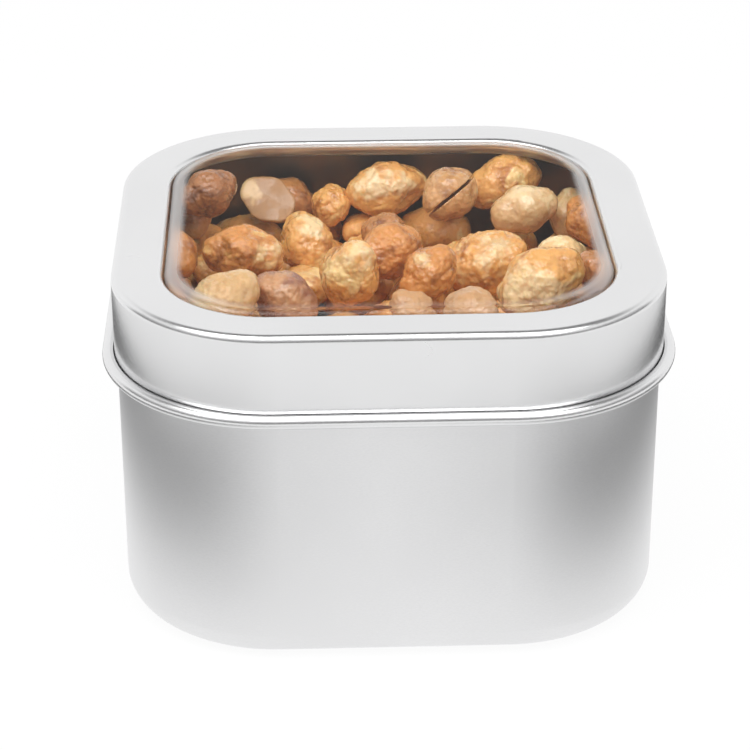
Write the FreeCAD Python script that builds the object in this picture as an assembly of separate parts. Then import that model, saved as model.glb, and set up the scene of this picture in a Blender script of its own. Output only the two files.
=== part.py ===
import FreeCAD
import Part
import math
import os

# A square slip-lid tin with a clear window in its lid, filled with coated nuts.
# Millimetres, +Z up. The origin is the middle of the underside, on the surface the tin stands on.

# Tin body, drawn from one blank of sheet, outer sizes
body_side = 72.3
body_height = 45.1
corner_radius = 21.0
sheet = 0.23
base_radius = 3.7
panel_margin = 6.5
panel_rise = 0.5
panel_step_turn = 45.0
rim_curl_diameter = 1.6
rim_curl_turn = 270.0

# Lid frame, pressed from one blank of the same sheet
lid_clearance = 0.12
shoulder_radius = 1.0
skirt_depth = 12.4
hem_diameter = 1.83
hem_turn = 305.0
opening_side = 59.5
opening_curl_diameter = 1.8
opening_curl_turn = 235.0

# Window, formed from clear film and snapped in under the curl of the lid's opening
film = 0.4
film_clearance = 0.12
pan_rise = 0.3
pan_edge_radius = 1.4
pan_foot_radius = 0.3
flange_clearance = 0.15
seat_clearance = 0.05

# Coated nuts: half of the usual width and the gaps kept between neighbours, below the window and between
# parted halves
nut_half_width = 4.3
nut_gap = 0.15
window_gap = 0.25
parted_gap = 0.4

# A nut's two ends, their radii and their distances from its widest place as shares of its half width
blunt_end_share = 0.76
small_end_share = 0.68
blunt_reach_share = 0.59
small_reach_share = 0.70
balls_per_end = 5

# Nuts below the top layer lie as they fall, larger ones first, each in the lowest of a few places. Their
# heap ends below the rim by a share of the usual half width, which leaves room for the top layer.
buried_width_shares = (1.2, 1.0, 0.8, 0.65)
buried_layers = ("bottom", "lower", "middle", "upper")
buried_tries = 40
top_layer_share = 1.75
pull_share = 0.98

# The top layer, one nut to a line, in the order they settle. Each line has the place across and along as
# shares of half the mouth, the half width and the stretch as shares of the usual ones, the heading as a
# share of a half turn and the tilt of the small end as a share of a right angle.
top_nut_shares = (
    (0.31, 0.80, 0.50, 0.90, 0.10, 0.00),
    (0.33, -0.36, 0.66, 0.90, 0.00, 0.00),
    (0.66, 0.08, 0.50, 0.90, 0.00, 0.00),
    (0.59, 0.92, 0.94, 1.10, 0.06, 0.25),
    (0.04, 0.85, 0.95, 1.05, 0.15, 0.05),
    (0.30, 0.65, 0.91, 0.80, 0.25, 0.20),
    (-0.37, 0.90, 0.75, 0.90, 0.95, 0.30),
    (-0.47, 0.74, 0.84, 1.10, 0.82, 0.15),
    (-0.20, 0.81, 0.64, 0.85, 0.40, 0.35),
    (-0.80, 0.71, 0.76, 0.85, 0.58, 0.40),
    (-0.72, 0.59, 0.80, 0.95, 0.15, 0.10),
    (0.92, 0.80, 0.72, 0.90, 0.40, 0.60),
    (0.61, 0.58, 0.84, 1.15, 0.07, 0.15),
    (0.88, 0.49, 0.78, 1.00, 0.65, 0.30),
    (0.35, 0.40, 0.66, 0.95, 0.95, 0.00),
    (0.02, 0.50, 0.80, 0.95, 0.40, 0.00),
    (-0.31, 0.49, 0.91, 0.85, 0.60, 0.35),
    (0.03, 0.15, 0.92, 0.85, 0.20, 0.10),
    (-0.57, 0.23, 0.96, 1.05, 0.98, 0.00),
    (0.41, 0.15, 1.06, 1.00, 0.03, 0.25),
    (-0.85, 0.29, 0.82, 0.85, 0.60, 0.10),
    (0.70, 0.00, 0.86, 0.85, 0.20, 0.00),
    (0.84, -0.15, 0.66, 0.85, 0.75, 0.30),
    (-0.14, -0.09, 0.98, 0.88, 0.67, 1.30),
    (0.17, -0.05, 0.84, 0.85, 0.13, 0.50),
    (0.60, -0.24, 1.06, 1.05, 0.07, 0.30),
    (-0.40, -0.14, 0.88, 0.85, 0.95, 0.30),
    (-0.64, -0.25, 0.94, 0.95, 0.12, 0.30),
    (0.10, -0.26, 0.68, 0.85, 0.95, 0.45),
    (0.31, -0.50, 0.80, 0.85, 0.70, 0.00),
    (-0.82, -0.56, 0.76, 0.90, 0.62, 0.00),
    (-0.58, -0.68, 0.80, 1.00, 0.75, 0.00),
    (-0.36, -0.84, 0.90, 1.00, 0.02, 0.00),
    (0.84, -0.52, 0.74, 0.90, 0.40, 0.00),
    (0.62, -0.72, 0.84, 1.00, 0.20, 0.00),
    (0.38, -0.86, 0.80, 1.00, 0.97, 0.00),
)

# Nuts of the top layer whose halves have parted or of which only one half is left, by their line above,
# with the turn of the parting about the nut's length as a share of a half turn
parted_nut_shares = {6: 0.78}
half_nut_shares = {8: -0.22}

# Worked-out places
body_half = body_side / 2
corner_centre = body_half - corner_radius
wall_half = body_half - sheet
rim_radius = rim_curl_diameter / 2
mouth_half = body_half - rim_curl_diameter
base_top = panel_rise + sheet
flange_bottom = body_height + seat_clearance
flange_top = flange_bottom + film
lid_top = flange_top + seat_clearance + opening_curl_diameter
pan_top = lid_top + pan_rise
opening_half = opening_side / 2
pan_wall = opening_half - film_clearance
foot_half = pan_wall + pan_foot_radius
foot_level = flange_top + pan_foot_radius
foot_reach = pan_foot_radius + film
opening_radius = opening_curl_diameter / 2
skirt_inner = body_half + lid_clearance
skirt_outer = skirt_inner + sheet
hem_radius = hem_diameter / 2
hem_level = lid_top - skirt_depth + hem_radius
buried_level = body_height - top_layer_share * nut_half_width
golden = (math.sqrt(5) - 1) / 2
full_turn = 360.0
half_turn = 180.0
quarter_turn = 90.0
outwards = 0.0
upwards = 90.0
inwards = 180.0
downwards = 270.0
origin = FreeCAD.Vector(0, 0, 0)
across_axis = FreeCAD.Vector(1, 0, 0)
along_axis = FreeCAD.Vector(0, 1, 0)
up_axis = FreeCAD.Vector(0, 0, 1)


def place(x, z):
    """Point of a section, which lies in the plane across the tin's middle."""
    return FreeCAD.Vector(x, 0, z)


def arc(centre, radius, first, last):
    """Round stretch of a section about a centre, from the first to the last angle in degrees."""
    ends = []
    for angle in (first, (first + last) / 2, last):
        turn = math.radians(angle)
        ends.append(place(centre.x + radius * math.cos(turn), centre.z + radius * math.sin(turn)))
    return Part.Arc(*ends).toShape()


def section(*stretches):
    """Closed face from points and round stretches in order, with straight runs between them."""
    edges = []
    first = None
    last = None
    for stretch in stretches:
        if isinstance(stretch, FreeCAD.Vector):
            start = stretch
            end = stretch
        else:
            start = stretch.valueAt(stretch.FirstParameter)
            end = stretch.valueAt(stretch.LastParameter)
        if last is not None:
            edges.append(Part.LineSegment(last, start).toShape())
        if end is not start:
            edges.append(stretch)
        if first is None:
            first = start
        last = end
    edges.append(Part.LineSegment(last, first).toShape())
    return Part.Face(Part.Wire(edges))


def round_square(face):
    """Solids of a section led round the tin: four straight sides and four quarter-turned corners."""
    side = face.copy()
    side.translate(FreeCAD.Vector(0, -corner_centre, 0))
    side = side.extrude(FreeCAD.Vector(0, 2 * corner_centre, 0))
    corner = face.copy()
    corner.translate(FreeCAD.Vector(0, corner_centre, 0))
    axis_place = FreeCAD.Vector(corner_centre, corner_centre, 0)
    corner = corner.revolve(axis_place, up_axis, quarter_turn)
    solids = []
    for step in range(4):
        for piece in (side, corner):
            turned = piece.copy()
            turned.rotate(origin, up_axis, quarter_turn * step)
            solids.append(turned)
    return solids


def middle_plate(bottom, thickness):
    """Flat square between the four corner centres, which closes a base or a window pan."""
    width = 2 * corner_centre
    return Part.makeBox(width, width, thickness, FreeCAD.Vector(-corner_centre, -corner_centre, bottom))


def joined(solids):
    """One solid from pieces that meet face to face."""
    whole = solids[0].multiFuse(solids[1:]).removeSplitter()
    return whole.Solids[0]


def tin_body():
    """Seamless drawn shell with a raised base panel, round base edge and a rim curled inwards."""
    turn = math.radians(panel_step_turn)
    bend = panel_rise / (2 * (1 - math.cos(turn)))
    inner_bend = bend - sheet / 2
    outer_bend = bend + sheet / 2
    step_end = body_half - panel_margin
    upper_bend = place(step_end - 2 * bend * math.sin(turn), panel_rise + sheet / 2 - bend)
    lower_bend = place(step_end, sheet / 2 + bend)
    base_edge = place(body_half - base_radius, base_radius)
    curl = place(body_half - rim_radius, body_height - rim_radius)
    face = section(
        place(corner_centre, panel_rise),
        arc(upper_bend, inner_bend, upwards, upwards - panel_step_turn),
        arc(lower_bend, outer_bend, downwards - panel_step_turn, downwards),
        arc(base_edge, base_radius, downwards, full_turn),
        arc(curl, rim_radius, outwards, rim_curl_turn),
        arc(curl, rim_radius - sheet, rim_curl_turn, outwards),
        arc(base_edge, base_radius - sheet, full_turn, downwards),
        arc(lower_bend, inner_bend, downwards, downwards - panel_step_turn),
        arc(upper_bend, outer_bend, upwards - panel_step_turn, upwards),
        place(corner_centre, base_top),
    )
    return joined(round_square(face) + [middle_plate(panel_rise, sheet)])


def lid_frame():
    """Pressed lid: opening with a curled edge, flat ring, turned shoulder, skirt and rolled hem."""
    curl = place(opening_half + opening_radius, lid_top - opening_radius)
    curl_end = upwards + opening_curl_turn
    shoulder = place(skirt_outer - shoulder_radius, lid_top - shoulder_radius)
    hem = place(skirt_inner + hem_radius, hem_level)
    hem_end = inwards + hem_turn
    face = section(
        arc(curl, opening_radius, curl_end, upwards),
        arc(shoulder, shoulder_radius, upwards, outwards),
        arc(hem, hem_radius - sheet, inwards, hem_end),
        arc(hem, hem_radius, hem_end, inwards),
        arc(shoulder, shoulder_radius - sheet, outwards, upwards),
        arc(curl, opening_radius - sheet, upwards, curl_end),
    )
    return joined(round_square(face))


def window():
    """Clear formed film: a shallow pan that stands up through the opening and a flange below the curl."""
    edge = place(pan_wall - pan_edge_radius, pan_top - pan_edge_radius)
    foot = place(foot_half, foot_level)
    flange_end = skirt_inner - flange_clearance
    face = section(
        place(corner_centre, pan_top - film),
        arc(edge, pan_edge_radius - film, upwards, outwards),
        arc(foot, foot_reach, inwards, downwards),
        place(flange_end, flange_bottom),
        place(flange_end, flange_top),
        arc(foot, pan_foot_radius, downwards, inwards),
        arc(edge, pan_edge_radius, outwards, upwards),
        place(corner_centre, pan_top),
    )
    return joined(round_square(face) + [middle_plate(pan_top - film, film)])


def reach_out(x, y):
    """How far a place lies outside the square between the corner centres, less than zero inside it."""
    over_x = abs(x) - corner_centre
    over_y = abs(y) - corner_centre
    if over_x > 0 and over_y > 0:
        return math.hypot(over_x, over_y)
    return max(over_x, over_y)


def room_below_window(x, y, height, radius):
    """Gap between a ball and the underside of the window's flange, foot or pan, whichever is nearest."""
    beside_foot = foot_half - corner_centre - reach_out(x, y)
    if beside_foot < 0:
        return flange_bottom - height - radius
    below_pan = pan_top - film - height - radius
    below_foot = max(foot_level - height, 0)
    return min(below_pan, math.hypot(beside_foot, below_foot) - foot_reach - radius)


class Nut:
    """One coated nut, turned about its own length: a round belly that runs straight into two smaller ends."""

    def __init__(self, width_share, stretch_share, heading_share, tilt_share):
        self.half_width = nut_half_width * width_share
        self.blunt = self.half_width * blunt_end_share
        self.small = self.half_width * small_end_share
        self.blunt_reach = self.half_width * blunt_reach_share * stretch_share
        self.small_reach = self.half_width * small_reach_share * stretch_share
        self.heading = math.pi * heading_share
        self.tilt = math.pi / 2 * tilt_share

    def balls(self):
        """Balls that fill the nut, as offsets from its widest place and radii."""
        found = []
        for end, reach in ((self.blunt, -self.blunt_reach), (self.small, self.small_reach)):
            for step in range(balls_per_end + 1):
                share = step / balls_per_end
                radius = self.half_width + (end - self.half_width) * share
                flat = reach * share * math.cos(self.tilt)
                rise = reach * share * math.sin(self.tilt)
                found.append((flat * math.cos(self.heading), flat * math.sin(self.heading), rise, radius))
        return found

    def fits(self, x, y, half):
        """Whether the nut lies inside a rounded square of the given half width."""
        for across, along, rise, radius in self.balls():
            if reach_out(x + across, y + along) + radius + nut_gap > half - corner_centre:
                return False
        return True

    def drawn_in(self, x, y, half):
        """Nearest place towards the middle at which the nut is clear of the wall."""
        while not self.fits(x, y, half):
            x = x * pull_share
            y = y * pull_share
        return x, y

    def settled_height(self, x, y, heap):
        """Height at which the nut comes to rest on the base or on the balls of the heap."""
        height = 0
        balls = self.balls()
        length = self.blunt + self.blunt_reach + self.small_reach + self.small
        near = [ball for ball in heap if max(abs(ball[0] - x), abs(ball[1] - y)) < length + ball[3]]
        for across, along, rise, radius in balls:
            height = max(height, base_top + nut_gap + radius - rise)
            for ball in near:
                reach = radius + ball[3] + nut_gap
                gap_x = x + across - ball[0]
                gap_y = y + along - ball[1]
                apart = gap_x * gap_x + gap_y * gap_y
                if apart < reach * reach:
                    height = max(height, ball[2] + math.sqrt(reach * reach - apart) - rise)
        return height

    def top(self, height):
        """Highest point of the nut when it rests at a height."""
        return max(height + rise + radius for across, along, rise, radius in self.balls())

    def room(self, x, y, height):
        """Least gap between the nut and the window above it."""
        balls = self.balls()
        return min(room_below_window(x + ball[0], y + ball[1], height + ball[2], ball[3]) for ball in balls)

    def settle(self, x, y, height, heap):
        """Add the nut's balls to the heap at its place."""
        for across, along, rise, radius in self.balls():
            heap.append((x + across, y + along, height + rise, radius))

    def solid(self):
        """Whole nut along the X axis, with its widest place at the origin."""
        blunt_turn = inwards - math.degrees(math.acos((self.half_width - self.blunt) / self.blunt_reach))
        small_turn = math.degrees(math.acos((self.half_width - self.small) / self.small_reach))
        face = section(
            arc(place(-self.blunt_reach, 0), self.blunt, inwards, blunt_turn),
            arc(origin, self.half_width, blunt_turn, small_turn),
            arc(place(self.small_reach, 0), self.small, small_turn, outwards),
        )
        return face.revolve(origin, across_axis, full_turn)

    def without(self, turn_share, thickness):
        """Nut with a slice of the given thickness taken off one side of a plane through its length."""
        length = 2 * (self.blunt + self.blunt_reach + self.small_reach + self.small)
        width = 4 * self.half_width
        corner = FreeCAD.Vector(-length / 2, -width / 2, 0)
        slice_taken = Part.makeBox(length, width, thickness, corner)
        slice_taken.rotate(origin, across_axis, half_turn * turn_share)
        return self.solid().cut(slice_taken)

    def laid(self, solid, x, y, height):
        """The nut's solid, or what is left of it, tilted, turned and moved to its place."""
        solid.rotate(origin, along_axis, -math.degrees(self.tilt))
        solid.rotate(origin, up_axis, math.degrees(self.heading))
        solid.translate(FreeCAD.Vector(x, y, height))
        return solid


def spread(count):
    """Evenly scattered pair of shares for a count, from powers of a fixed ratio."""
    ratio = math.cbrt((9 + math.sqrt(69)) / 18) + math.cbrt((9 - math.sqrt(69)) / 18)
    return (count / ratio) % 1, (count / ratio / ratio) % 1


def lowest_place(heap, width_share, count):
    """Nut of one size in the lowest of a few scattered places on the heap, with that place."""
    choices = []
    for number in range(count, count + buried_tries):
        nut = Nut(width_share, 1, (number * golden) % 1, 0)
        share_x, share_y = spread(number)
        reach = wall_half - nut.half_width
        x, y = nut.drawn_in(reach * (2 * share_x - 1), reach * (2 * share_y - 1), wall_half)
        choices.append((nut.settled_height(x, y, heap), number, x, y, nut))
    height, number, x, y, nut = min(choices)
    return nut, x, y, height


def buried_nuts(heap):
    """Drop ever smaller nuts into the lowest places, until none stays below the top layer's level."""
    solids = []
    count = 0
    for width_share in buried_width_shares:
        nut, x, y, height = lowest_place(heap, width_share, count)
        while nut.top(height) < buried_level:
            nut.settle(x, y, height, heap)
            solids.append(nut.laid(nut.solid(), x, y, height))
            count = count + buried_tries
            nut, x, y, height = lowest_place(heap, width_share, count)
    return solids


def settled_nut(shares, step, heap):
    """Nut of the top layer at rest on the heap, moved and made smaller by some steps from its own place."""
    nut = Nut(shares[2] * pull_share ** step, *shares[3:])
    reach = nut.half_width * math.sqrt(step)
    turn = 2 * math.pi * golden * step
    x = mouth_half * shares[0] + reach * math.cos(turn)
    y = mouth_half * shares[1] + reach * math.sin(turn)
    x, y = nut.drawn_in(x, y, mouth_half)
    return nut, x, y, nut.settled_height(x, y, heap)


def top_nuts(heap):
    """Lay the nuts that show below the window, each as near to its place as it has room below the window."""
    solids = {}
    for line, shares in enumerate(top_nut_shares, start=1):
        step = 0
        nut, x, y, height = settled_nut(shares, step, heap)
        while nut.room(x, y, height) < window_gap:
            step = step + 1
            nut, x, y, height = settled_nut(shares, step, heap)
        nut.settle(x, y, height, heap)
        if line in parted_nut_shares:
            solid = nut.without(parted_nut_shares[line], parted_gap)
        elif line in half_nut_shares:
            solid = nut.without(half_nut_shares[line], 2 * nut.half_width)
        else:
            solid = nut.solid()
        solids["nut_{:02d}".format(line)] = nut.laid(solid, x, y, height)
    return solids


def nodes():
    """Every piece under its own name."""
    pieces = {"tin_body": tin_body(), "lid_frame": lid_frame(), "window": window()}
    heap = []
    buried = buried_nuts(heap)
    for index, layer in enumerate(buried_layers):
        first = index * len(buried) // len(buried_layers)
        last = (index + 1) * len(buried) // len(buried_layers)
        pieces["nuts_" + layer] = Part.makeCompound(buried[first:last])
    pieces.update(top_nuts(heap))
    return pieces


os.makedirs("parts", exist_ok=True)
for name, shape in nodes().items():
    shape.exportStep("parts/" + name + ".step")
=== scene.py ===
"""Square slip-lid tin with a clear window, filled with toffee-coated nuts, dressed for a studio picture."""
import logging
import math
from dataclasses import dataclass, field
from enum import Enum
from typing import ClassVar, Union

import bmesh
import bpy
from bpy.types import ID, Material, Node, NodeSocket as Socket, NodeTree, Object
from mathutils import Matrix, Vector, noise
from mathutils.bvhtree import BVHTree


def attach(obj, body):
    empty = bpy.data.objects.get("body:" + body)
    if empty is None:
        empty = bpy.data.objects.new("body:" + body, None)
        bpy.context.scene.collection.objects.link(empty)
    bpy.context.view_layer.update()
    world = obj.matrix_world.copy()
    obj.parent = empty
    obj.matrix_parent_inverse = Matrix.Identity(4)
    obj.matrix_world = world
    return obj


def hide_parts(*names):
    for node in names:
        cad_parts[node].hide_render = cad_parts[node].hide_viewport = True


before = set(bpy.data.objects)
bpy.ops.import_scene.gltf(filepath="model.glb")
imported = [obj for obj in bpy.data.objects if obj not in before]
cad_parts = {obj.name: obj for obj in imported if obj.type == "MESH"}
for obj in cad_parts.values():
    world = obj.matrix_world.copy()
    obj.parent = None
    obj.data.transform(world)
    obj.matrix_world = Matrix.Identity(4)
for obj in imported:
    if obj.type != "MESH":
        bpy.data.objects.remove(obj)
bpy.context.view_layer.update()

log = logging.getLogger("window_lid_tin")

MM = 0.001
WELD = 0.0005 * MM
CORNER_CENTRE = 15.15 * MM
WHITE = (1.0, 1.0, 1.0, 1.0)
Colour = tuple[float, float, float, float]
Point = tuple[float, float, float]
Feed = Union[float, Colour, Vector, Socket]


def shade(red: int, green: int, blue: int) -> Colour:
    """Linear colour of a screen colour.

    Args:
        red: Red from 0 to 255.
        green: Green from 0 to 255.
        blue: Blue from 0 to 255.

    Returns:
        Linear red, green, blue and full alpha.
    """
    linear = []
    for part in (red, green, blue):
        part = part / 255
        linear.append(part / 12.92 if part <= 0.04045 else ((part + 0.055) / 1.055) ** 2.4)
    return (linear[0], linear[1], linear[2], 1.0)


def smooth_step(value: float, low: float, high: float) -> float:
    """Ease a value from 0 at low to 1 at high.

    Args:
        value: Value to ease.
        low: Where the result leaves 0.
        high: Where the result reaches 1.

    Returns:
        Eased value between 0 and 1.
    """
    share = min(max((value - low) / (high - low), 0.0), 1.0)
    return share * share * (3 - 2 * share)


class Graph:
    """Adds and joins the nodes of one tree."""

    def __init__(self, tree: NodeTree) -> None:
        """Keep the tree that receives the nodes."""
        self.tree = tree

    def feed(self, target: Socket, value: Feed) -> None:
        """Join a socket to an input, or set the input's own value.

        Args:
            target: Input socket.
            value: Output socket to join, or a plain value.
        """
        if isinstance(value, Socket):
            self.tree.links.new(value, target)
        else:
            target.default_value = value

    def add(self, kind: str, values: dict[Union[str, int], Feed], **settings: object) -> Node:
        """Add a node and feed its inputs.

        Args:
            kind: Node type without its common lead.
            values: Plain values or sockets by input name or number.
            settings: Properties of the node.

        Returns:
            The new node.
        """
        node = self.tree.nodes.new("ShaderNode" + kind)
        for name, setting in settings.items():
            setattr(node, name, setting)
        for name, value in values.items():
            self.feed(node.inputs[name], value)
        return node

    def maths(self, operation: str, first: Feed, second: Feed = 0.0) -> Socket:
        """Output of a sum on one or two values.

        Args:
            operation: Name of the sum.
            first: First value or socket.
            second: Second value or socket.

        Returns:
            Socket with the result.
        """
        return self.add("Math", {0: first, 1: second}, operation=operation).outputs[0]

    def ease(self, value: Feed, low: Feed, high: Feed, start: Feed = 0.0, end: Feed = 1.0) -> Socket:
        """Smooth passage between two values.

        Args:
            value: Value that drives the passage.
            low: Where the passage starts.
            high: Where the passage ends.
            start: Result at the low end.
            end: Result at the high end.

        Returns:
            Socket with the result.
        """
        values = {"Value": value, "From Min": low, "From Max": high, "To Min": start, "To Max": end}
        return self.add("MapRange", values, interpolation_type="SMOOTHSTEP").outputs[0]

    def blend(self, share: Feed, first: Feed, second: Feed) -> Socket:
        """Mixture of two colours.

        Args:
            share: Share of the second colour.
            first: First colour.
            second: Second colour.

        Returns:
            Socket with the mixed colour.
        """
        return self.add("Mix", {0: share, 6: first, 7: second}, data_type="RGBA").outputs[2]

    def seen(self) -> Socket:
        """Mask of what is seen directly, mirrored or through the film.

        Returns:
            Socket with the mask.
        """
        path = self.add("LightPath", {})
        shown = self.maths("MAXIMUM", path.outputs["Is Camera Ray"], path.outputs["Is Glossy Ray"])
        return self.maths("MAXIMUM", shown, path.outputs["Is Transmission Ray"])


@dataclass(frozen=True)
class SocketPlan:
    """One named socket of a shared effect."""

    name: str
    kind: str = "NodeSocketFloat"


class Effect:
    """Shader node group that several finishes share, built once."""

    title: ClassVar[str] = ""
    inputs: ClassVar[tuple[SocketPlan, ...]] = ()
    outputs: ClassVar[tuple[SocketPlan, ...]] = ()

    def draw(self, graph: Graph, given: Node) -> dict[str, Socket]:
        """Nodes of the effect, drawn by each kind of effect.

        Args:
            graph: Tree of the group.
            given: Node that holds the group's inputs.

        Returns:
            Sockets to put out, by output name.
        """
        raise NotImplementedError

    def group(self) -> NodeTree:
        """Tree of the effect, made when it is first asked for.

        Returns:
            The group's tree.
        """
        if self.title in bpy.data.node_groups:
            return bpy.data.node_groups[self.title]
        tree = bpy.data.node_groups.new(self.title, "ShaderNodeTree")
        for plan in self.inputs:
            tree.interface.new_socket(plan.name, in_out="INPUT", socket_type=plan.kind)
        for plan in self.outputs:
            tree.interface.new_socket(plan.name, in_out="OUTPUT", socket_type=plan.kind)
        given = tree.nodes.new("NodeGroupInput")
        put_out = tree.nodes.new("NodeGroupOutput")
        for name, socket in self.draw(Graph(tree), given).items():
            tree.links.new(socket, put_out.inputs[name])
        return tree

    def place(self, graph: Graph, **values: Feed) -> Node:
        """Put the effect into a material.

        Args:
            graph: Tree of the material.
            values: Values or sockets by input name, with _ for spaces.

        Returns:
            The group's node.
        """
        node = graph.tree.nodes.new("ShaderNodeGroup")
        node.node_tree = self.group()
        for name, value in values.items():
            graph.feed(node.inputs[name.replace("_", " ").title()], value)
        return node


class RolledGrain(Effect):
    """Fine grain of rolled sheet, drawn out round the walls, with a slow change of tone."""

    title = "Rolled grain"
    inputs = (SocketPlan("Fineness"), SocketPlan("Stretch"))
    outputs = (SocketPlan("Grain"), SocketPlan("Cloud"))
    cloud_fineness = 55.0

    def draw(self, graph: Graph, given: Node) -> dict[str, Socket]:
        """Stretched fine noise beside broad noise.

        Args:
            graph: Tree of the group.
            given: Node that holds the group's inputs.

        Returns:
            Grain and cloud values.
        """
        place = graph.add("TexCoord", {}).outputs["Object"]
        stretch = graph.add("CombineXYZ", {0: 1.0, 1: 1.0, 2: given.outputs["Stretch"]}).outputs[0]
        drawn = graph.add("Mapping", {"Vector": place, "Scale": stretch}).outputs[0]
        lines = graph.add("TexNoise", {"Vector": drawn, "Scale": given.outputs["Fineness"], "Detail": 3.0})
        cloud = graph.add("TexNoise", {"Vector": place, "Scale": self.cloud_fineness, "Detail": 3.0})
        return {"Grain": lines.outputs[0], "Cloud": cloud.outputs[0]}


class HandlingMarks(Effect):
    """Sparse hairline scratches and faint unevenness from use."""

    title = "Handling marks"
    inputs = (SocketPlan("Fineness"), SocketPlan("Share"))
    outputs = (SocketPlan("Scratch"), SocketPlan("Dent"))
    turns_and_lengths = ((0.5, 7.0), (-0.9, 9.0), (1.4, 6.0))
    hairline = 0.006
    spot_fineness = 130.0
    spot_limit = 0.78
    spot_soft = 0.08
    dent_fineness = 95.0

    def draw(self, graph: Graph, given: Node) -> dict[str, Socket]:
        """Thin level lines of stretched noise, kept only in places.

        Args:
            graph: Tree of the group.
            given: Node that holds the group's inputs.

        Returns:
            Scratch mask and dent value.
        """
        place = graph.add("TexCoord", {}).outputs["Object"]
        layers = []
        for turn, drawn in self.turns_and_lengths:
            turned = Vector((turn, turn * 0.7, turn))
            values = {"Vector": place, "Rotation": turned, "Scale": Vector((1.0, drawn, 1.6))}
            path = graph.add("Mapping", values).outputs[0]
            lines = graph.add("TexNoise", {"Vector": path, "Scale": given.outputs["Fineness"], "Detail": 1.0})
            off = graph.maths("ABSOLUTE", graph.maths("SUBTRACT", lines.outputs[0], 0.5))
            layers.append(graph.ease(off, 0.0, self.hairline, 1.0, 0.0))
        lines = graph.maths("MAXIMUM", graph.maths("MAXIMUM", layers[0], layers[1]), layers[2])
        spots = graph.add("TexNoise", {"Vector": place, "Scale": self.spot_fineness, "Detail": 2.0}).outputs[0]
        limit = graph.maths("SUBTRACT", self.spot_limit, graph.maths("MULTIPLY", given.outputs["Share"], 0.3))
        kept = graph.ease(spots, limit, graph.maths("ADD", limit, self.spot_soft))
        dents = graph.add("TexNoise", {"Vector": place, "Scale": self.dent_fineness, "Detail": 1.0}).outputs[0]
        return {"Scratch": graph.maths("MULTIPLY", lines, kept), "Dent": dents}


class ToffeeMottle(Effect):
    """Patchy toffee colour: main tone, darker burnt toffee and paler places where the coat is thin."""

    title = "Toffee mottle"
    inputs = (
        SocketPlan("Main", "NodeSocketColor"),
        SocketPlan("Burnt", "NodeSocketColor"),
        SocketPlan("Pale", "NodeSocketColor"),
        SocketPlan("Fineness"),
        SocketPlan("Burnt Share"),
        SocketPlan("Pale Share"),
    )
    outputs = (SocketPlan("Color", "NodeSocketColor"),)
    pale_scale = 0.62
    speck_scale = 6.5
    burnt_soft = 0.22
    pale_soft = 0.12
    scarce = 0.72
    plenty = 0.45
    fleck_share = 0.3

    def draw(self, graph: Graph, given: Node) -> dict[str, Socket]:
        """Two layers of noise choose between the three tones, and fine specks break them up.

        Args:
            graph: Tree of the group.
            given: Node that holds the group's inputs.

        Returns:
            Colour.
        """
        place = graph.add("TexCoord", {}).outputs["Object"]
        fine = given.outputs["Fineness"]
        coarse = graph.maths("MULTIPLY", fine, self.pale_scale)
        burnt = graph.add("TexNoise", {"Vector": place, "Scale": fine, "Detail": 5.0, "Distortion": 0.6})
        moved = graph.add("Mapping", {"Vector": place, "Location": Vector((0.37, 0.11, 0.73))}).outputs[0]
        pale = graph.add("TexNoise", {"Vector": moved, "Scale": coarse, "Detail": 4.0, "Distortion": 0.9})
        finest = graph.maths("MULTIPLY", fine, self.speck_scale)
        speck = graph.add("TexNoise", {"Vector": moved, "Scale": finest, "Detail": 2.0})
        tone = given.outputs["Main"]
        for patches, name, soft in ((burnt, "Burnt", self.burnt_soft), (pale, "Pale", self.pale_soft)):
            share = graph.maths("MULTIPLY", given.outputs[name + " Share"], self.plenty)
            low = graph.maths("SUBTRACT", self.scarce, share)
            mask = graph.ease(patches.outputs[0], low, graph.maths("ADD", low, soft))
            tone = graph.blend(mask, tone, given.outputs[name])
        fleck = graph.ease(speck.outputs[0], 0.54, 0.74, 0.0, self.fleck_share)
        return {"Color": graph.blend(fleck, tone, given.outputs["Burnt"])}


class SugarCrust(Effect):
    """Crystal crust of set toffee: small rounded grains, finer roughness and where the glaze lies thick."""

    title = "Sugar crust"
    inputs = (SocketPlan("Fineness"), SocketPlan("Dry"), SocketPlan("Wet"))
    outputs = (SocketPlan("Height"), SocketPlan("Roughness"), SocketPlan("Glaze"))
    bend_scale = 0.5
    bend_reach = 1.2 * MM
    cell_soft = 0.35
    grit_scale = 3.2
    grit_share = 0.22
    pool_scale = 0.33

    def draw(self, graph: Graph, given: Node) -> dict[str, Socket]:
        """Rounded cells and noise for the relief, slower noise for the glaze.

        Args:
            graph: Tree of the group.
            given: Node that holds the group's inputs.

        Returns:
            Height, roughness and glaze mask.
        """
        place = graph.add("TexCoord", {}).outputs["Object"]
        fine = given.outputs["Fineness"]
        bend, grit, pools = (
            graph.add("TexNoise", {"Vector": place, "Scale": graph.maths("MULTIPLY", fine, scale), "Detail": 2.0})
            for scale in (self.bend_scale, self.grit_scale, self.pool_scale)
        )
        reach = Vector([self.bend_reach] * 3)
        bent = graph.add("VectorMath", {0: bend.outputs[1], 1: reach}, operation="MULTIPLY")
        path = graph.add("VectorMath", {0: place, 1: bent.outputs[0]}, operation="ADD").outputs[0]
        values = {"Vector": path, "Scale": fine, "Smoothness": self.cell_soft}
        cells = graph.add("TexVoronoi", values, feature="SMOOTH_F1")
        grains = graph.maths("SUBTRACT", 1.0, cells.outputs[0])
        height = graph.maths("ADD", grains, graph.maths("MULTIPLY", grit.outputs[0], self.grit_share))
        glaze = graph.ease(pools.outputs[0], 0.4, 0.6)
        rough = graph.ease(glaze, 0.0, 1.0, given.outputs["Dry"], given.outputs["Wet"])
        return {"Height": height, "Roughness": rough, "Glaze": glaze}


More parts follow.
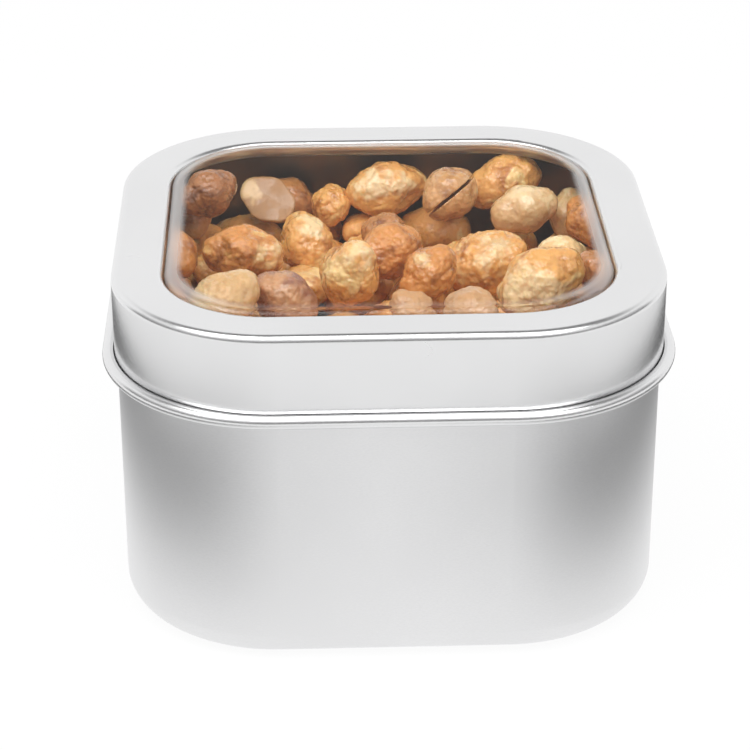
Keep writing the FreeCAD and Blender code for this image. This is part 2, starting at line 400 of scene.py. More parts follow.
class RoundSquareReach(Effect):
    """Distance outside the square between the corner centres, which is even round the whole tin."""

    title = "Round square reach"
    inputs = (SocketPlan("Corner Centre"),)
    outputs = (SocketPlan("Reach"), SocketPlan("Height"))

    def draw(self, graph: Graph, given: Node) -> dict[str, Socket]:
        """Length of what each place lies beyond the square.

        Args:
            graph: Tree of the group.
            given: Node that holds the group's inputs.

        Returns:
            Reach and height in metres.
        """
        place = graph.add("TexCoord", {}).outputs["Object"]
        sides = graph.add("SeparateXYZ", {0: place})
        over = []
        for side in ("X", "Y"):
            away = graph.maths("ABSOLUTE", sides.outputs[side])
            past = graph.maths("SUBTRACT", away, given.outputs["Corner Centre"])
            over.append(graph.maths("MAXIMUM", past, 0.0))
        squares = graph.maths("ADD", graph.maths("POWER", over[0], 2.0), graph.maths("POWER", over[1], 2.0))
        return {"Reach": graph.maths("SQRT", squares), "Height": sides.outputs["Z"]}


def new_material(name: str) -> tuple[Material, Graph, Node]:
    """Material with an empty tree and its output node.

    Args:
        name: Name of the material.

    Returns:
        The material, its graph and its output node.
    """
    material = bpy.data.materials.new(name)
    material.use_nodes = True
    material.node_tree.nodes.clear()
    graph = Graph(material.node_tree)
    return material, graph, graph.add("OutputMaterial", {})


def new_object(name: str, data: ID) -> Object:
    """Object that stands in the scene.

    Args:
        name: Name of the object.
        data: Mesh, lamp or camera that it holds.

    Returns:
        The object.
    """
    made = bpy.data.objects.new(name, data)
    bpy.context.scene.collection.objects.link(made)
    return made


@dataclass(frozen=True)
class TinplateFinish:
    """Bright tinned sheet with satin grain and hairline scratches, and a painted shade colour on the inside that
    stands for shade and the mirrored nuts.
    """

    name: str
    bright: Colour
    dull: Colour
    inside_shade: Colour
    inside_reach: float
    satin: float
    grain_depth: float
    scratch_share: float
    inside_from: float = 3.8 * MM
    inside_to: float = 43.3 * MM
    panel_reach: float = 14.5 * MM
    panel_level: float = 0.62 * MM
    border: float = 0.05 * MM
    grain_fineness: float = 2300.0
    grain_stretch: float = 3.0
    grain_strength: float = 0.02
    satin_range: float = 0.02
    mark_fineness: float = 60.0
    scratch_tone: float = 0.35
    scratch_rough: float = 0.12
    dent_strength: float = 0.2
    dent_depth: float = 0.12 * MM

    def inside_shade_mask(self, graph: Graph) -> Socket:
        """Mask of the painted inside shade: the inner wall below the curled rim and the base panel's upper side.

        Args:
            graph: Tree of the material.

        Returns:
            The mask.
        """
        where = RoundSquareReach().place(graph, corner_centre=CORNER_CENTRE)
        reach, height = where.outputs["Reach"], where.outputs["Height"]
        within = graph.ease(reach, self.inside_reach - self.border, self.inside_reach + self.border, 1.0, 0.0)
        above = graph.ease(height, self.inside_from - 2 * self.border, self.inside_from)
        below = graph.ease(height, self.inside_to, self.inside_to + 2 * self.border, 1.0, 0.0)
        wall = graph.maths("MULTIPLY", within, graph.maths("MULTIPLY", above, below))
        panel = graph.ease(reach, self.panel_reach, self.panel_reach + 2 * self.border, 1.0, 0.0)
        top = graph.ease(height, self.panel_level - self.border, self.panel_level + self.border)
        return graph.maths("MAXIMUM", wall, graph.maths("MULTIPLY", panel, top))

    def material(self) -> Material:
        """Metal whose colour, roughness and relief follow grain, tone and marks.

        Returns:
            The material.
        """
        material, graph, out = new_material(self.name)
        grain = RolledGrain().place(graph, fineness=self.grain_fineness, stretch=self.grain_stretch)
        marks = HandlingMarks().place(graph, fineness=self.mark_fineness, share=self.scratch_share)
        scratch = marks.outputs["Scratch"]
        tone = graph.maths("MULTIPLY", grain.outputs["Cloud"], grain.outputs["Grain"])
        colour = graph.blend(graph.ease(tone, 0.15, 0.4), self.dull, self.bright)
        colour = graph.blend(graph.maths("MULTIPLY", scratch, self.scratch_tone), colour, self.dull)
        # painted shade and painted reflection of the nuts: the tin's inside takes a dark brown colour
        colour = graph.blend(self.inside_shade_mask(graph), colour, self.inside_shade)
        smooth, coarse = self.satin - self.satin_range, self.satin + self.satin_range
        soft = graph.ease(grain.outputs["Grain"], 0.3, 0.7, smooth, coarse)
        rough = graph.maths("ADD", soft, graph.maths("MULTIPLY", scratch, self.scratch_rough))
        fine = {"Strength": self.grain_strength, "Distance": self.grain_depth, "Height": grain.outputs["Grain"]}
        broad = {"Strength": self.dent_strength, "Distance": self.dent_depth, "Height": marks.outputs["Dent"]}
        broad["Normal"] = graph.add("Bump", fine).outputs[0]
        relief = graph.add("Bump", broad)
        values = {"Base Color": colour, "Metallic": 1.0, "Roughness": rough, "Normal": relief.outputs[0]}
        metal = graph.add("BsdfPrincipled", values)
        graph.feed(out.inputs["Surface"], metal.outputs[0])
        return material


@dataclass(frozen=True)
class FilmFinish:
    """Clear formed film with faint scuffs, hazy and bright where its edge is rounded, except along the front."""

    name: str
    tint: Colour
    refraction: float
    polish: float
    edge_haze: float
    edge_gloss: float
    edge_reach: float = 13.1 * MM
    edge_width: float = 1.3 * MM
    edge_rough: float = 0.12
    front_start: float = -29.4 * MM
    front_end: float = -24.0 * MM
    front_share: float = 0.08
    scuff_fineness: float = 48.0
    scuff_share: float = 0.35
    scuff_rough: float = 0.12
    wave_strength: float = 0.06
    wave_depth: float = 0.2 * MM
    shadow_tint: Colour = (0.95, 0.95, 0.95, 1.0)

    def edge_share(self, graph: Graph) -> Socket:
        """Mask of the rounded edge, 0 on the flat and 1 on the edge, and weak along the front.

        Args:
            graph: Tree of the film's material.

        Returns:
            The mask.
        """
        reach = RoundSquareReach().place(graph, corner_centre=CORNER_CENTRE).outputs["Reach"]
        along = graph.add("SeparateXYZ", {0: graph.add("TexCoord", {}).outputs["Object"]}).outputs["Y"]
        rounded = graph.ease(reach, self.edge_reach - self.edge_width, self.edge_reach)
        hazy = graph.ease(along, self.front_start, self.front_end, self.front_share, 1.0)
        return graph.maths("MULTIPLY", rounded, hazy)

    def material(self) -> Material:
        """Clear film that lets lamp light through to what lies below.

        Returns:
            The material.
        """
        material, graph, out = new_material(self.name)
        marks = HandlingMarks().place(graph, fineness=self.scuff_fineness, share=self.scuff_share)
        edge = self.edge_share(graph)
        haze = graph.ease(edge, 0.0, 1.0, self.polish, self.edge_haze)
        rough = graph.maths("ADD", haze, graph.maths("MULTIPLY", marks.outputs["Scratch"], self.scuff_rough))
        dents = {"Strength": self.wave_strength, "Distance": self.wave_depth, "Height": marks.outputs["Dent"]}
        wave = graph.add("Bump", dents)
        values = {
            "Base Color": self.tint,
            "Roughness": rough,
            "IOR": self.refraction,
            "Transmission Weight": 1.0,
            "Coat Weight": edge,
            "Coat IOR": self.edge_gloss,
            "Coat Roughness": self.edge_rough,
            "Normal": wave.outputs[0],
        }
        film = graph.add("BsdfPrincipled", values)
        clear = graph.add("BsdfTransparent", {"Color": self.shadow_tint})
        path = graph.add("LightPath", {})
        soft = graph.maths("MAXIMUM", path.outputs["Is Shadow Ray"], path.outputs["Is Diffuse Ray"])
        both = graph.add("MixShader", {0: soft, 1: film.outputs[0], 2: clear.outputs[0]})
        graph.feed(out.inputs["Surface"], both.outputs[0])
        return material


@dataclass(frozen=True)
class ToffeeFinish:
    """One tone of toffee coat: its colours, how patchy it is and how it shines."""

    name: str
    main: Colour
    burnt: Colour
    pale: Colour
    bare: Colour
    burnt_share: float = 0.5
    pale_share: float = 0.4
    fineness: float = 330.0
    crust: float = 0.22 * MM
    dry: float = 0.5
    wet: float = 0.2
    crystal_fineness: float = 1150.0
    crust_strength: float = 0.7
    painted_shade_share: float = 0.5
    thin_glaze: float = 0.15
    thick_glaze: float = 0.7
    glaze_rough: float = 0.16
    refraction: float = 1.48
    glow_weight: float = 0.25
    glow_reach: Point = (2.2 * MM, 1.2 * MM, 0.6 * MM)

    def material(self) -> Material:
        """Patchy glossy coat with painted shade that darkens the hollows, and cream where the nut is bare.

        Returns:
            The material.
        """
        material, graph, out = new_material(self.name)
        mottle = ToffeeMottle().place(
            graph, main=self.main, burnt=self.burnt, pale=self.pale,
            fineness=self.fineness, burnt_share=self.burnt_share, pale_share=self.pale_share,
        )
        crust = SugarCrust().place(graph, fineness=self.crystal_fineness, dry=self.dry, wet=self.wet)
        bare = graph.add("Attribute", {}, attribute_name="bare").outputs["Fac"]
        painted_hollow_shade = graph.add("Attribute", {}, attribute_name="painted_hollow_shade").outputs["Fac"]
        colour = graph.blend(bare, mottle.outputs["Color"], self.bare)
        # painted shade: the burnt tone darkens the relief's hollows
        colour = graph.blend(graph.maths("MULTIPLY", painted_hollow_shade, self.painted_shade_share), colour, self.burnt)
        grains = {"Strength": self.crust_strength, "Distance": self.crust, "Height": crust.outputs["Height"]}
        relief = graph.add("Bump", grains)
        glaze = graph.ease(crust.outputs["Glaze"], 0.0, 1.0, self.thin_glaze, self.thick_glaze)
        values = {
            "Base Color": colour,
            "Roughness": crust.outputs["Roughness"],
            "IOR": self.refraction,
            "Subsurface Weight": self.glow_weight,
            "Subsurface Radius": Vector(self.glow_reach),
            "Subsurface Scale": 1.0,
            "Coat Weight": glaze,
            "Coat Roughness": self.glaze_rough,
            "Normal": relief.outputs[0],
        }
        coat = graph.add("BsdfPrincipled", values)
        graph.feed(out.inputs["Surface"], coat.outputs[0])
        return material


class Tone(Enum):
    """Tones of toffee seen through the window."""

    GOLDEN = ToffeeFinish(
        "golden_toffee_coat",
        shade(235, 173, 97), shade(182, 114, 52), shade(244, 206, 140), shade(246, 216, 166),
    )
    ORANGE = ToffeeFinish(
        "orange_toffee_coat",
        shade(216, 146, 76), shade(160, 94, 42), shade(236, 186, 116), shade(244, 208, 150),
        pale_share=0.25,
    )
    BROWN = ToffeeFinish(
        "brown_toffee_coat",
        shade(192, 130, 74), shade(136, 80, 40), shade(220, 166, 104), shade(240, 206, 150),
        pale_share=0.25,
    )
    TAN = ToffeeFinish(
        "tan_toffee_coat",
        shade(214, 160, 102), shade(160, 104, 56), shade(234, 194, 138), shade(244, 214, 160),
        crust=0.16 * MM,
    )
    CREAM = ToffeeFinish(
        "cream_toffee_coat",
        shade(238, 198, 140), shade(206, 152, 92), shade(248, 222, 170), shade(248, 222, 174),
        burnt_share=0.3, crust=0.14 * MM,
    )
    BURNT = ToffeeFinish(
        "burnt_toffee_coat",
        shade(170, 112, 64), shade(120, 70, 36), shade(198, 144, 90), shade(236, 200, 146),
        pale_share=0.25,
    )
    SAND = ToffeeFinish(
        "sand_toffee_coat",
        shade(224, 182, 128), shade(190, 138, 86), shade(238, 206, 154), shade(244, 214, 166),
        burnt_share=0.4, pale_share=0.35, crust=0.14 * MM,
    )
    SPLIT = ToffeeFinish(
        "split_nut_face",
        shade(170, 122, 72), shade(150, 102, 58), shade(186, 140, 90), shade(226, 188, 136),
        burnt_share=0.3, pale_share=0.3, crust=0.06 * MM, dry=0.55, wet=0.4,
    )
    BLUSH = ToffeeFinish(
        "blush_toffee_coat",
        shade(206, 158, 110), shade(170, 118, 76), shade(226, 186, 138), shade(246, 218, 174),
        burnt_share=0.35, pale_share=0.35, crust=0.1 * MM, dry=0.55, wet=0.34,
    )
    PLUM = ToffeeFinish(
        "plum_toffee_coat",
        shade(204, 152, 108), shade(150, 100, 80), shade(224, 178, 130), shade(240, 206, 154),
        burnt_share=0.7, pale_share=0.25, fineness=170.0, crust=0.16 * MM,
    )


class Slot(Enum):
    """Material slots of the record, listed for each nut."""

    GOLDEN = "golden_toffee"
    BROWN = "brown_toffee"
    CREAM = "cream_toffee"


@dataclass(frozen=True)
class BarePatch:
    """Cream place on a nut: which way it faces from the nut's middle and how wide it spreads, in degrees."""

    across: float
    along: float
    up: float
    spread: float


@dataclass(frozen=True)
class NutLook:
    """Tone, slot, lumpiness, bare patches, breadth and parted halves of one nut of the top layer."""

    tone: Tone
    slot: Slot
    lumps: float = 1.0
    crystals: float = 1.0
    patches: tuple[BarePatch, ...] = ()
    breadth: float = 1.0
    parted: bool = False


NUT_LOOKS: dict[int, NutLook] = {
    1: NutLook(Tone.BROWN, Slot.GOLDEN),
    2: NutLook(Tone.BROWN, Slot.BROWN),
    3: NutLook(Tone.CREAM, Slot.CREAM),
    4: NutLook(Tone.GOLDEN, Slot.GOLDEN, 0.9, 0.8),
    5: NutLook(
        Tone.GOLDEN, Slot.CREAM, 0.9, 0.7,
        (BarePatch(-0.5, -0.75, 0.45, 26), BarePatch(0.05, -0.85, 0.5, 28), BarePatch(0.5, -0.75, 0.45, 28)),
        1.13,
    ),
    6: NutLook(Tone.TAN, Slot.BROWN, 0.6, 0.6, parted=True),
    7: NutLook(Tone.BROWN, Slot.BROWN, 0.6, 0.5),
    8: NutLook(Tone.SPLIT, Slot.CREAM, 0.3, 0.15, (BarePatch(-0.95, 0.25, 0.2, 30),), 0.88),
    9: NutLook(Tone.GOLDEN, Slot.GOLDEN, 0.9, 0.9),
    10: NutLook(Tone.TAN, Slot.CREAM, 0.7, 0.6),
    11: NutLook(Tone.BURNT, Slot.GOLDEN, 1.0, 0.9),
    12: NutLook(Tone.CREAM, Slot.CREAM, 0.5, 0.4),
    13: NutLook(Tone.SAND, Slot.CREAM, 0.5, 0.4, (BarePatch(-0.1, -0.2, 0.97, 42),)),
    14: NutLook(Tone.ORANGE, Slot.GOLDEN, 1.0, 1.1),
    15: NutLook(Tone.GOLDEN, Slot.GOLDEN),
    16: NutLook(Tone.BROWN, Slot.BROWN),
    17: NutLook(Tone.GOLDEN, Slot.GOLDEN, 0.9, 0.8, (BarePatch(0.2, -0.2, 0.95, 34),)),
    18: NutLook(Tone.ORANGE, Slot.BROWN, 1.0, 1.0),
    19: NutLook(Tone.ORANGE, Slot.BROWN, 1.1, 1.0, (BarePatch(0.8, -0.55, 0.1, 24),)),
    20: NutLook(
        Tone.GOLDEN, Slot.GOLDEN, 1.1, 0.9,
        (BarePatch(0.25, -0.45, 0.85, 30), BarePatch(0.0, -0.9, 0.35, 18)),
    ),
    21: NutLook(Tone.ORANGE, Slot.GOLDEN, 0.6, 0.4),
    22: NutLook(Tone.CREAM, Slot.CREAM, 0.6, 0.6),
    23: NutLook(Tone.BROWN, Slot.BROWN, 0.8, 0.7),
    24: NutLook(Tone.GOLDEN, Slot.GOLDEN, 1.0, 0.85, (BarePatch(0.3, -0.5, 0.8, 16),)),
    25: NutLook(Tone.ORANGE, Slot.GOLDEN, 1.1, 1.0, (BarePatch(-0.3, -0.5, 0.8, 20),)),
    26: NutLook(
        Tone.GOLDEN, Slot.GOLDEN, 0.9, 0.8,
        (BarePatch(-0.1, -0.95, -0.2, 52), BarePatch(-0.8, -0.5, 0.2, 30)),
    ),
    27: NutLook(Tone.PLUM, Slot.BROWN, 0.9, 0.8),
    28: NutLook(Tone.SAND, Slot.CREAM, 0.5, 0.5),
    29: NutLook(Tone.BLUSH, Slot.CREAM, 0.8, 0.7),
    30: NutLook(Tone.BLUSH, Slot.CREAM, 0.6, 0.6),
    31: NutLook(Tone.CREAM, Slot.CREAM),
    32: NutLook(Tone.BROWN, Slot.BROWN),
    33: NutLook(Tone.GOLDEN, Slot.GOLDEN),
    34: NutLook(Tone.PLUM, Slot.BROWN),
    35: NutLook(Tone.CREAM, Slot.CREAM, 0.6, 0.6),
    36: NutLook(Tone.ORANGE, Slot.GOLDEN),
}


@dataclass
class Shell:
    """Closed surface of one nut of the frame, seen from its own middle."""

    middle: Vector
    tree: BVHTree

    def reach(self, way: Vector) -> float:
        """Distance from the middle to the surface.

        Args:
            way: Unit direction.

        Returns:
            Distance in metres.
        """
        hit = self.tree.ray_cast(self.middle, way)
        return hit[3] if hit[3] is not None else 0.0


def shells_of(node: str) -> list[Shell]:
    """Separate closed surfaces of a node of the frame.

    Args:
        node: Name of the node.

    Returns:
        One shell for each nut, in the order of their first points.
    """
    work = bmesh.new()
    work.from_mesh(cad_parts[node].data)
    bmesh.ops.remove_doubles(work, verts=work.verts, dist=WELD)
    work.verts.index_update()
    seen: set[int] = set()
    shells = []
    for first in work.verts:
        if first.index in seen:
            continue
        seen.add(first.index)
        island = [first]
        for point in island:
            for edge in point.link_edges:
                other = edge.other_vert(point)
                if other.index not in seen:
                    seen.add(other.index)
                    island.append(other)
        number = {point.index: place for place, point in enumerate(island)}
        places = [point.co.copy() for point in island]
        faces = {face.index: face for point in island for face in point.link_faces}.values()
        polygons = [[number[point.index] for point in face.verts] for face in faces]
        area = sum(face.calc_area() for face in faces)
        middle = sum((face.calc_center_median() * face.calc_area() for face in faces), Vector()) / area
        shells.append(Shell(middle, BVHTree.FromPolygons(places, polygons)))
    work.free()
    return shells


@dataclass
class NutCoat:
    """Relief of the toffee coat in millimetres, painted shade for its hollows, its ragged bare patches, and the fill
    of a parted nut's seam.
    """

    lump_size: float = 3.6
    lump_depth: float = 0.60
    crystal_size: float = 0.95
    crystal_depth: float = 0.20
    grit_size: float = 0.45
    grit_depth: float = 0.10
    bend_size: float = 2.2
    bend_reach: float = 0.45
    grain_top: float = 0.75
    grain_edge: float = 1.1
    sink: float = 0.05
    proud: float = 0.25
    crystal_painted_shade: float = 0.6
    lump_painted_shade: float = 0.4
    seam_fill: float = 0.17
    seam_from: float = 0.3
    seam_to: float = 0.8
    ragged: tuple[tuple[float, float], ...] = ((1.7, 0.22), (0.6, 0.10))
    patch_inside: float = 0.14
    patch_outside: float = 0.10
    patch_share: float = 0.9

    def press(self, place: Vector, lumps: float, crystals: float) -> tuple[float, float]:
        """Relief and painted shade at a place on the coat.

        Args:
            place: Place in millimetres, moved apart for each nut.
            lumps: Share of the lumps' depth.
            crystals: Share of the crystals' depth.

        Returns:
            Height above the plain surface in millimetres, and the share of painted shade for the relief's hollows,
            from 0 to 1.
        """
        broad = noise.fractal(place / self.lump_size, 1.0, 2.0, 3)
        bend = noise.noise_vector(place / self.bend_size) * self.bend_reach
        cell = noise.voronoi(place / self.crystal_size + bend)[0]
        grain = self.grain_top - min(cell[0], self.grain_edge)
        grit = noise.noise(place / self.grit_size)
        crystal = self.crystal_depth * crystals * grain
        height = self.lump_depth * lumps * (broad - 0.05) + crystal + self.grit_depth * crystals * grit
        # painted shade: share that darkens the hollows between crystals and between lumps
        painted_hollow_shade = smooth_step(-grain, -0.1, 0.45) * min(crystals, 1.0) * self.crystal_painted_shade
        painted_hollow_shade += smooth_step(-broad, 0.1, 0.6) * self.lump_painted_shade
        return min(height - self.sink, self.proud), painted_hollow_shade

    def bare_share(self, way: Vector, place: Vector, patches: tuple[BarePatch, ...]) -> float:
        """How bare a place on a nut is.

        Args:
            way: Direction of the place from the nut's middle.
            place: Place in millimetres, moved apart for each nut.
            patches: Bare patches of the nut.

        Returns:
            Share from 0 to 1.
        """
        share = 0.0
        ragged = sum(noise.noise(place / size) * depth for size, depth in self.ragged)
        for patch in patches:
            towards = Vector((patch.across, patch.along, patch.up)).normalized()
            edge = math.cos(math.radians(patch.spread))
            low, high = edge - self.patch_outside, edge + self.patch_inside
            share = max(share, smooth_step(way.dot(towards) + ragged, low, high) * self.patch_share)
        return share


@dataclass
class CoatedNuts:
    """Toffee nuts in the tin: a heap of four hidden layers and the top layer that shows below the window."""

    coat: NutCoat = field(default_factory=NutCoat)
    top_detail: int = 6
    heap_detail: int = 4
    heap_layers: tuple[str, ...] = ("nuts_bottom", "nuts_lower", "nuts_middle", "nuts_upper")
    heap_seed: int = 100
    heap_seed_step: int = 40
    seed_step: Point = (17.3, 5.9, 11.1)
    noise_seed: int = 7
    body: str = "tin"
    dressed: dict[Tone, Material] = field(default_factory=dict)

    def finish(self, tone: Tone) -> Material:
        """Material of a tone, made when it is first asked for.

        Args:
            tone: Tone of the coat.

        Returns:
            The material.
        """
        if tone not in self.dressed:
            self.dressed[tone] = tone.value.material()
        return self.dressed[tone]

    def mould(
        self, work: bmesh.types.BMesh, shell: Shell, inward: Vector, seed: int, look: NutLook, detail: int
    ) -> None:
        """Add one coated nut to a mesh.

        Args:
            work: Mesh that receives the nut.
            shell: Plain surface of the nut.
            inward: Direction of its other half, or nothing for a whole nut.
            seed: Number that moves its relief apart from the others'.
            look: Lumpiness, bare patches and breadth.
            detail: Number of times that the starting form is divided.
        """
        bare_layer = work.verts.layers.float["bare"]
        painted_shade_layer = work.verts.layers.float["painted_hollow_shade"]
        apart = Vector([seed * step for step in self.seed_step])
        made = bmesh.ops.create_icosphere(work, subdivisions=detail, radius=1.0)["verts"]
        for point in made:
            way = point.co.normalized()
            plain = shell.middle + way * shell.reach(way)
            place = plain / MM + apart
            height, painted_hollow_shade = self.coat.press(place, look.lumps, look.crystals)
            height += self.coat.seam_fill * smooth_step(way.dot(inward), self.coat.seam_from, self.coat.seam_to)
            point.co = plain + way * height * MM
            point.co.x = shell.middle.x + (point.co.x - shell.middle.x) * look.breadth
            point[bare_layer] = self.coat.bare_share(way, place, look.patches)
            point[painted_shade_layer] = painted_hollow_shade

    def piece(self, name: str, node: str, seed: int, look: NutLook, detail: int) -> Object:
        """Build and dress the nuts of one node and let them stand for it.

        Args:
            name: Name of the new piece.
            node: Node of the frame that it stands for.
            seed: First number for the relief.
            look: Tone, slot, lumpiness and form.
            detail: Number of times that the starting form is divided.

        Returns:
            The new piece.
        """
        work = bmesh.new()
        work.verts.layers.float.new("bare")
        work.verts.layers.float.new("painted_hollow_shade")
        shells = shells_of(node)
        for number, shell in enumerate(shells):
            inward = (shells[1 - number].middle - shell.middle).normalized() if look.parted else Vector()
            self.mould(work, shell, inward, seed + number, look, detail)
        mesh = bpy.data.meshes.new(name)
        work.to_mesh(mesh)
        work.free()
        mesh.polygons.foreach_set("use_smooth", [True] * len(mesh.polygons))
        mesh.materials.append(self.finish(look.tone))
        nuts = new_object(name, mesh)
        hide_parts(node)
        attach(nuts, self.body)
        return nuts

    def build(self) -> list[Object]:
        """Build the hidden layers and the top layer.

        Returns:
            All pieces.
        """
        noise.seed_set(self.noise_seed)
        pieces = []
        for number, layer in enumerate(self.heap_layers):
            look = NutLook(Tone.GOLDEN, Slot.GOLDEN)
            seed = self.heap_seed + self.heap_seed_step * number
            pieces.append(self.piece("coated_" + layer, layer, seed, look, self.heap_detail))
        for line, look in NUT_LOOKS.items():
            pieces.append(self.piece(f"coated_nut_{line:02d}", f"nut_{line:02d}", line, look, self.top_detail))
        return pieces


def dress(node: str, finish: Union[TinplateFinish, FilmFinish]) -> Object:
    """Give a node of the frame its finish.

    Args:
        node: Name of the node.
        finish: Finish that it receives.

    Returns:
        The dressed node.
    """
    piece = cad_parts[node]
    piece.data.materials.clear()
    piece.data.materials.append(finish.material())
    return piece


@dataclass
class TinShell:
    """Drawn tin body, dressed in tinplate."""

    node: str = "tin_body"
    finish: TinplateFinish = TinplateFinish(
        "tin_body_tinplate",
        bright=(0.80, 0.80, 0.805, 1.0),
        dull=(0.77, 0.77, 0.775, 1.0),
        # painted shade and painted reflection of the nuts on the tin's inside
        inside_shade=(0.22, 0.17, 0.125, 1.0),
        inside_reach=20.88 * MM,
        satin=0.34,
        grain_depth=0.03 * MM,
        scratch_share=0.4,
    )

    def dress(self) -> Object:
        """Give the body its tinplate."""
        return dress(self.node, self.finish)


@dataclass
class WindowLid:
    """Lid frame in tinplate with its clear window."""

    frame_node: str = "lid_frame"
    window_node: str = "window"
    metal: TinplateFinish = TinplateFinish(
        "lid_tinplate",
        bright=(0.82, 0.82, 0.825, 1.0),
        dull=(0.79, 0.79, 0.795, 1.0),
        inside_shade=(0.82, 0.82, 0.825, 1.0),
        inside_reach=0.0,
        satin=0.25,
        grain_depth=0.02 * MM,
        scratch_share=0.3,
    )
    film: FilmFinish = FilmFinish(
        "window_film", tint=(0.985, 0.99, 0.985, 1.0), refraction=1.06, polish=0.02, edge_haze=0.3, edge_gloss=2.5
    )

    def dress(self) -> list[Object]:
        """Give the lid frame its tinplate and the window its film."""
        return [dress(self.frame_node, self.metal), dress(self.window_node, self.film)]


@dataclass(frozen=True)
class FloorFinish:
    """Pale studio floor that looks white to the camera and in reflections and still takes a soft shadow."""

    name: str
    pale: Colour
    glow_share: float

    def material(self) -> Material:
        """Matt white mixed with its own white for what is seen directly or mirrored.

        Returns:
            The material.
        """
        material, graph, out = new_material(self.name)
        matt = graph.add("BsdfDiffuse", {"Color": self.pale})
        glow = graph.add("Emission", {"Color": WHITE, "Strength": 1.0})
        share = graph.maths("MULTIPLY", graph.seen(), self.glow_share)
        both = graph.add("MixShader", {0: share, 1: matt.outputs[0], 2: glow.outputs[0]})
        graph.feed(out.inputs["Surface"], both.outputs[0])
        return material


class ReflectionCard:
    """Flat card that shows only in reflections, with the outline and the grey of its kind."""

    name: str
    centre: Point = (0.0, 0.0, 0.0)

    def outline(self) -> list[Point]:
        """Corners in order, in metres, set by each kind of card."""
        raise NotImplementedError

    def level(self, graph: Graph) -> Socket:
        """Grey of the card, set by each kind of card.

        Args:
            graph: Tree of the card's material.

        Returns:
            Socket with the grey.
        """
        raise NotImplementedError

    def build(self) -> None:
        """Make the card, hidden from camera, diffuse, shadow and transmission rays, and put it at its centre."""
        grey, graph, out = new_material(self.name + "_grey")
        glow = graph.add("Emission", {"Color": WHITE, "Strength": self.level(graph)})
        graph.feed(out.inputs["Surface"], glow.outputs[0])
        outline = self.outline()
        mesh = bpy.data.meshes.new(self.name)
        mesh.from_pydata(outline, [], [tuple(range(len(outline)))])
        mesh.materials.append(grey)
        card = new_object(self.name, mesh)
        card.visible_camera = False
        card.visible_diffuse = False
        card.visible_shadow = False
        card.visible_transmission = False
        card.location = self.centre


@dataclass(frozen=True)
class RoomCard(ReflectionCard):
    """Upright card between two places on the floor: its lower and upper edge and its greys there."""

    name: str
    start: tuple[float, float]
    end: tuple[float, float]
    low: float
    high: float
    low_grey: float
    high_grey: float

    def outline(self) -> list[Point]:
        """Corners in order, in metres."""
        return [(*self.start, self.low), (*self.end, self.low), (*self.end, self.high), (*self.start, self.high)]

    def level(self, graph: Graph) -> Socket:
        """Grey that changes evenly with height.

        Args:
            graph: Tree of the card's material.

        Returns:
            Socket with the grey.
        """
        share = graph.add("SeparateXYZ", {0: graph.add("TexCoord", {}).outputs["Generated"]}).outputs["Z"]
        values = {"Value": share, "To Min": self.low_grey, "To Max": self.high_grey}
        return graph.add("MapRange", values).outputs[0]


@dataclass(frozen=True)
class DarkPool(ReflectionCard):
    """Round card on the floor, white by the tin and before it, dark to its rim and sides."""

    name: str = "floor_pool"
    centre: Point = (-0.001, 0.0, 0.0003)
    radius: float = 0.108
    rim_shift: float = 0.002
    corners: int = 72
    bright_to: float = 0.044
    dark_from: float = 0.097
    side_start: float = -0.0017
    side_end: float = 0.065

    def outline(self) -> list[Point]:
        """Corners round the rim, in metres."""
        turns = [math.tau * step / self.corners for step in range(self.corners)]
        return [(self.rim_shift + self.radius * math.cos(turn), self.radius * math.sin(turn), 0.0) for turn in turns]

    def level(self, graph: Graph) -> Socket:
        """Grey that falls with the distance from the middle and with the distance to the side.

        Args:
            graph: Tree of the card's material.

        Returns:
            Socket with the grey.
        """
        place = graph.add("TexCoord", {}).outputs["Object"]
        away = graph.add("VectorMath", {0: place}, operation="LENGTH").outputs["Value"]
        beside = graph.maths("ABSOLUTE", graph.add("SeparateXYZ", {0: place}).outputs["X"])
        outward = {"Value": away, "From Min": self.bright_to, "From Max": self.dark_from}
        sideways = {"Value": beside, "From Min": self.side_start, "From Max": self.side_end}
        far, wide = (graph.add("MapRange", passage).outputs[0] for passage in (outward, sideways))
        return graph.maths("SUBTRACT", 1.0, graph.maths("MULTIPLY", far, wide))


@dataclass(frozen=True)
class SoftLamp:
    """Large soft lamp: place and aim in metres, size and power."""

    name: str
    place: Point
    aim: Point
    width: float
    depth: float
    power: float

    def build(self) -> None:
        """Hang the lamp and turn it to its aim."""
        data = bpy.data.lights.new(self.name, "AREA")
        data.shape = "RECTANGLE"
        data.size = self.width
        data.size_y = self.depth
        data.energy = self.power
        lamp = new_object(self.name, data)
        lamp.location = self.place
        lamp.rotation_euler = (Vector(self.aim) - Vector(self.place)).to_track_quat("-Z", "Y").to_euler()


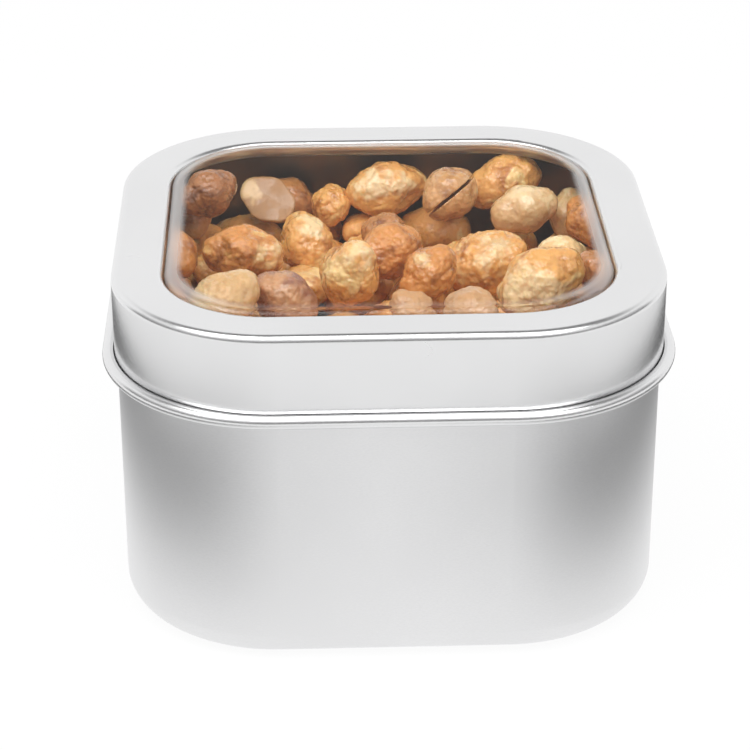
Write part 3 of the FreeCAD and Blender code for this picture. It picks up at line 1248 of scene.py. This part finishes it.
@dataclass
class Studio:
    """White table, white surround with a dim ceiling, soft lamp, reflection cards and the camera."""

    floor_half: float = 3.0
    floor_finish: FloorFinish = FloorFinish("studio_floor_white", (0.90, 0.90, 0.90, 1.0), 0.92)
    surround: float = 0.62
    sweep_end: float = 0.60
    ceiling_start: float = 0.80
    ceiling: float = 0.2
    lamps: tuple[SoftLamp, ...] = (
        SoftLamp("overhead_softbox", (-0.05, -0.28, 0.75), (0.0, -0.02, 0.03), 1.2, 0.55, 6.5),
    )
    cards: tuple[ReflectionCard, ...] = (
        RoomCard("room_behind_camera", (-0.6, -0.6), (0.6, -0.6), 0.045, 0.42, 0.06, 0.65),
        RoomCard("room_left", (-0.6, -0.6), (-0.6, 0.2), 0.045, 0.40, 0.1, 0.75),
        RoomCard("room_right", (0.6, -0.6), (0.6, 0.2), 0.045, 0.40, 0.1, 0.75),
        DarkPool(),
    )
    azimuth: float = -2.248
    elevation: float = 26.5
    distance: float = 0.35064
    target: Point = (0.0, 0.0, 0.023774)
    lens: float = 119.38
    shift: float = -0.01308
    sensor: float = 36.0
    nearest: float = 0.01
    farthest: float = 20.0

    def lay_floor(self) -> None:
        """Lay the floor at the level on which the tin stands."""
        half = self.floor_half
        mesh = bpy.data.meshes.new("studio_floor")
        corners = [(-half, -half, 0.0), (half, -half, 0.0), (half, half, 0.0), (-half, half, 0.0)]
        mesh.from_pydata(corners, [], [(0, 1, 2, 3)])
        mesh.materials.append(self.floor_finish.material())
        floor = new_object("studio_floor", mesh)

    def light_surround(self) -> None:
        """Surround: a white sweep below a dim ceiling where it is seen or mirrored, a plain level where it lights."""
        world = bpy.data.worlds.new("studio_surround")
        world.use_nodes = True
        world.node_tree.nodes.clear()
        graph = Graph(world.node_tree)
        out = graph.add("OutputWorld", {})
        level = graph.add("Background", {"Color": WHITE, "Strength": self.surround})
        rise = graph.add("SeparateXYZ", {0: graph.add("TexCoord", {}).outputs["Generated"]}).outputs["Z"]
        sweep = graph.ease(rise, self.sweep_end, self.ceiling_start, 1.0, self.ceiling)
        white = graph.add("Background", {"Color": WHITE, "Strength": sweep})
        both = graph.add("MixShader", {0: graph.seen(), 1: level.outputs[0], 2: white.outputs[0]})
        graph.feed(out.inputs["Surface"], both.outputs[0])
        bpy.context.scene.world = world

    def place_camera(self) -> None:
        """Put the camera at the picture's viewing angle."""
        data = bpy.data.cameras.new("studio_camera")
        data.sensor_width = self.sensor
        data.lens = self.lens
        data.shift_x = self.shift
        data.clip_start = self.nearest
        data.clip_end = self.farthest
        camera = new_object("studio_camera", data)
        turn = math.radians(self.azimuth)
        rise = math.radians(self.elevation)
        back = Vector((math.sin(turn) * math.cos(rise), -math.cos(turn) * math.cos(rise), math.sin(rise)))
        camera.location = Vector(self.target) + back * self.distance
        camera.rotation_euler = (-back).to_track_quat("-Z", "Y").to_euler()
        bpy.context.scene.camera = camera

    def build(self) -> None:
        """Set up floor, surround, lamp, cards, camera and the plain view transform."""
        self.lay_floor()
        self.light_surround()
        for fitting in (*self.lamps, *self.cards):
            fitting.build()
        self.place_camera()
        bpy.context.scene.view_settings.view_transform = "Standard"


def write_sizes() -> None:
    """Bring the view layer up to date."""
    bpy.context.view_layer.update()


def main() -> None:
    """Dress the tin and its lid, build the nuts and set up the studio."""
    logging.basicConfig(level=logging.INFO, format="%(message)s")
    log.info("dressed %s", TinShell().dress().name)
    for piece in WindowLid().dress():
        log.info("dressed %s", piece.name)
    for piece in CoatedNuts().build():
        log.info("built %s", piece.name)
    Studio().build()
    log.info("studio ready")
    write_sizes()


if __name__ == "__main__":
    main()
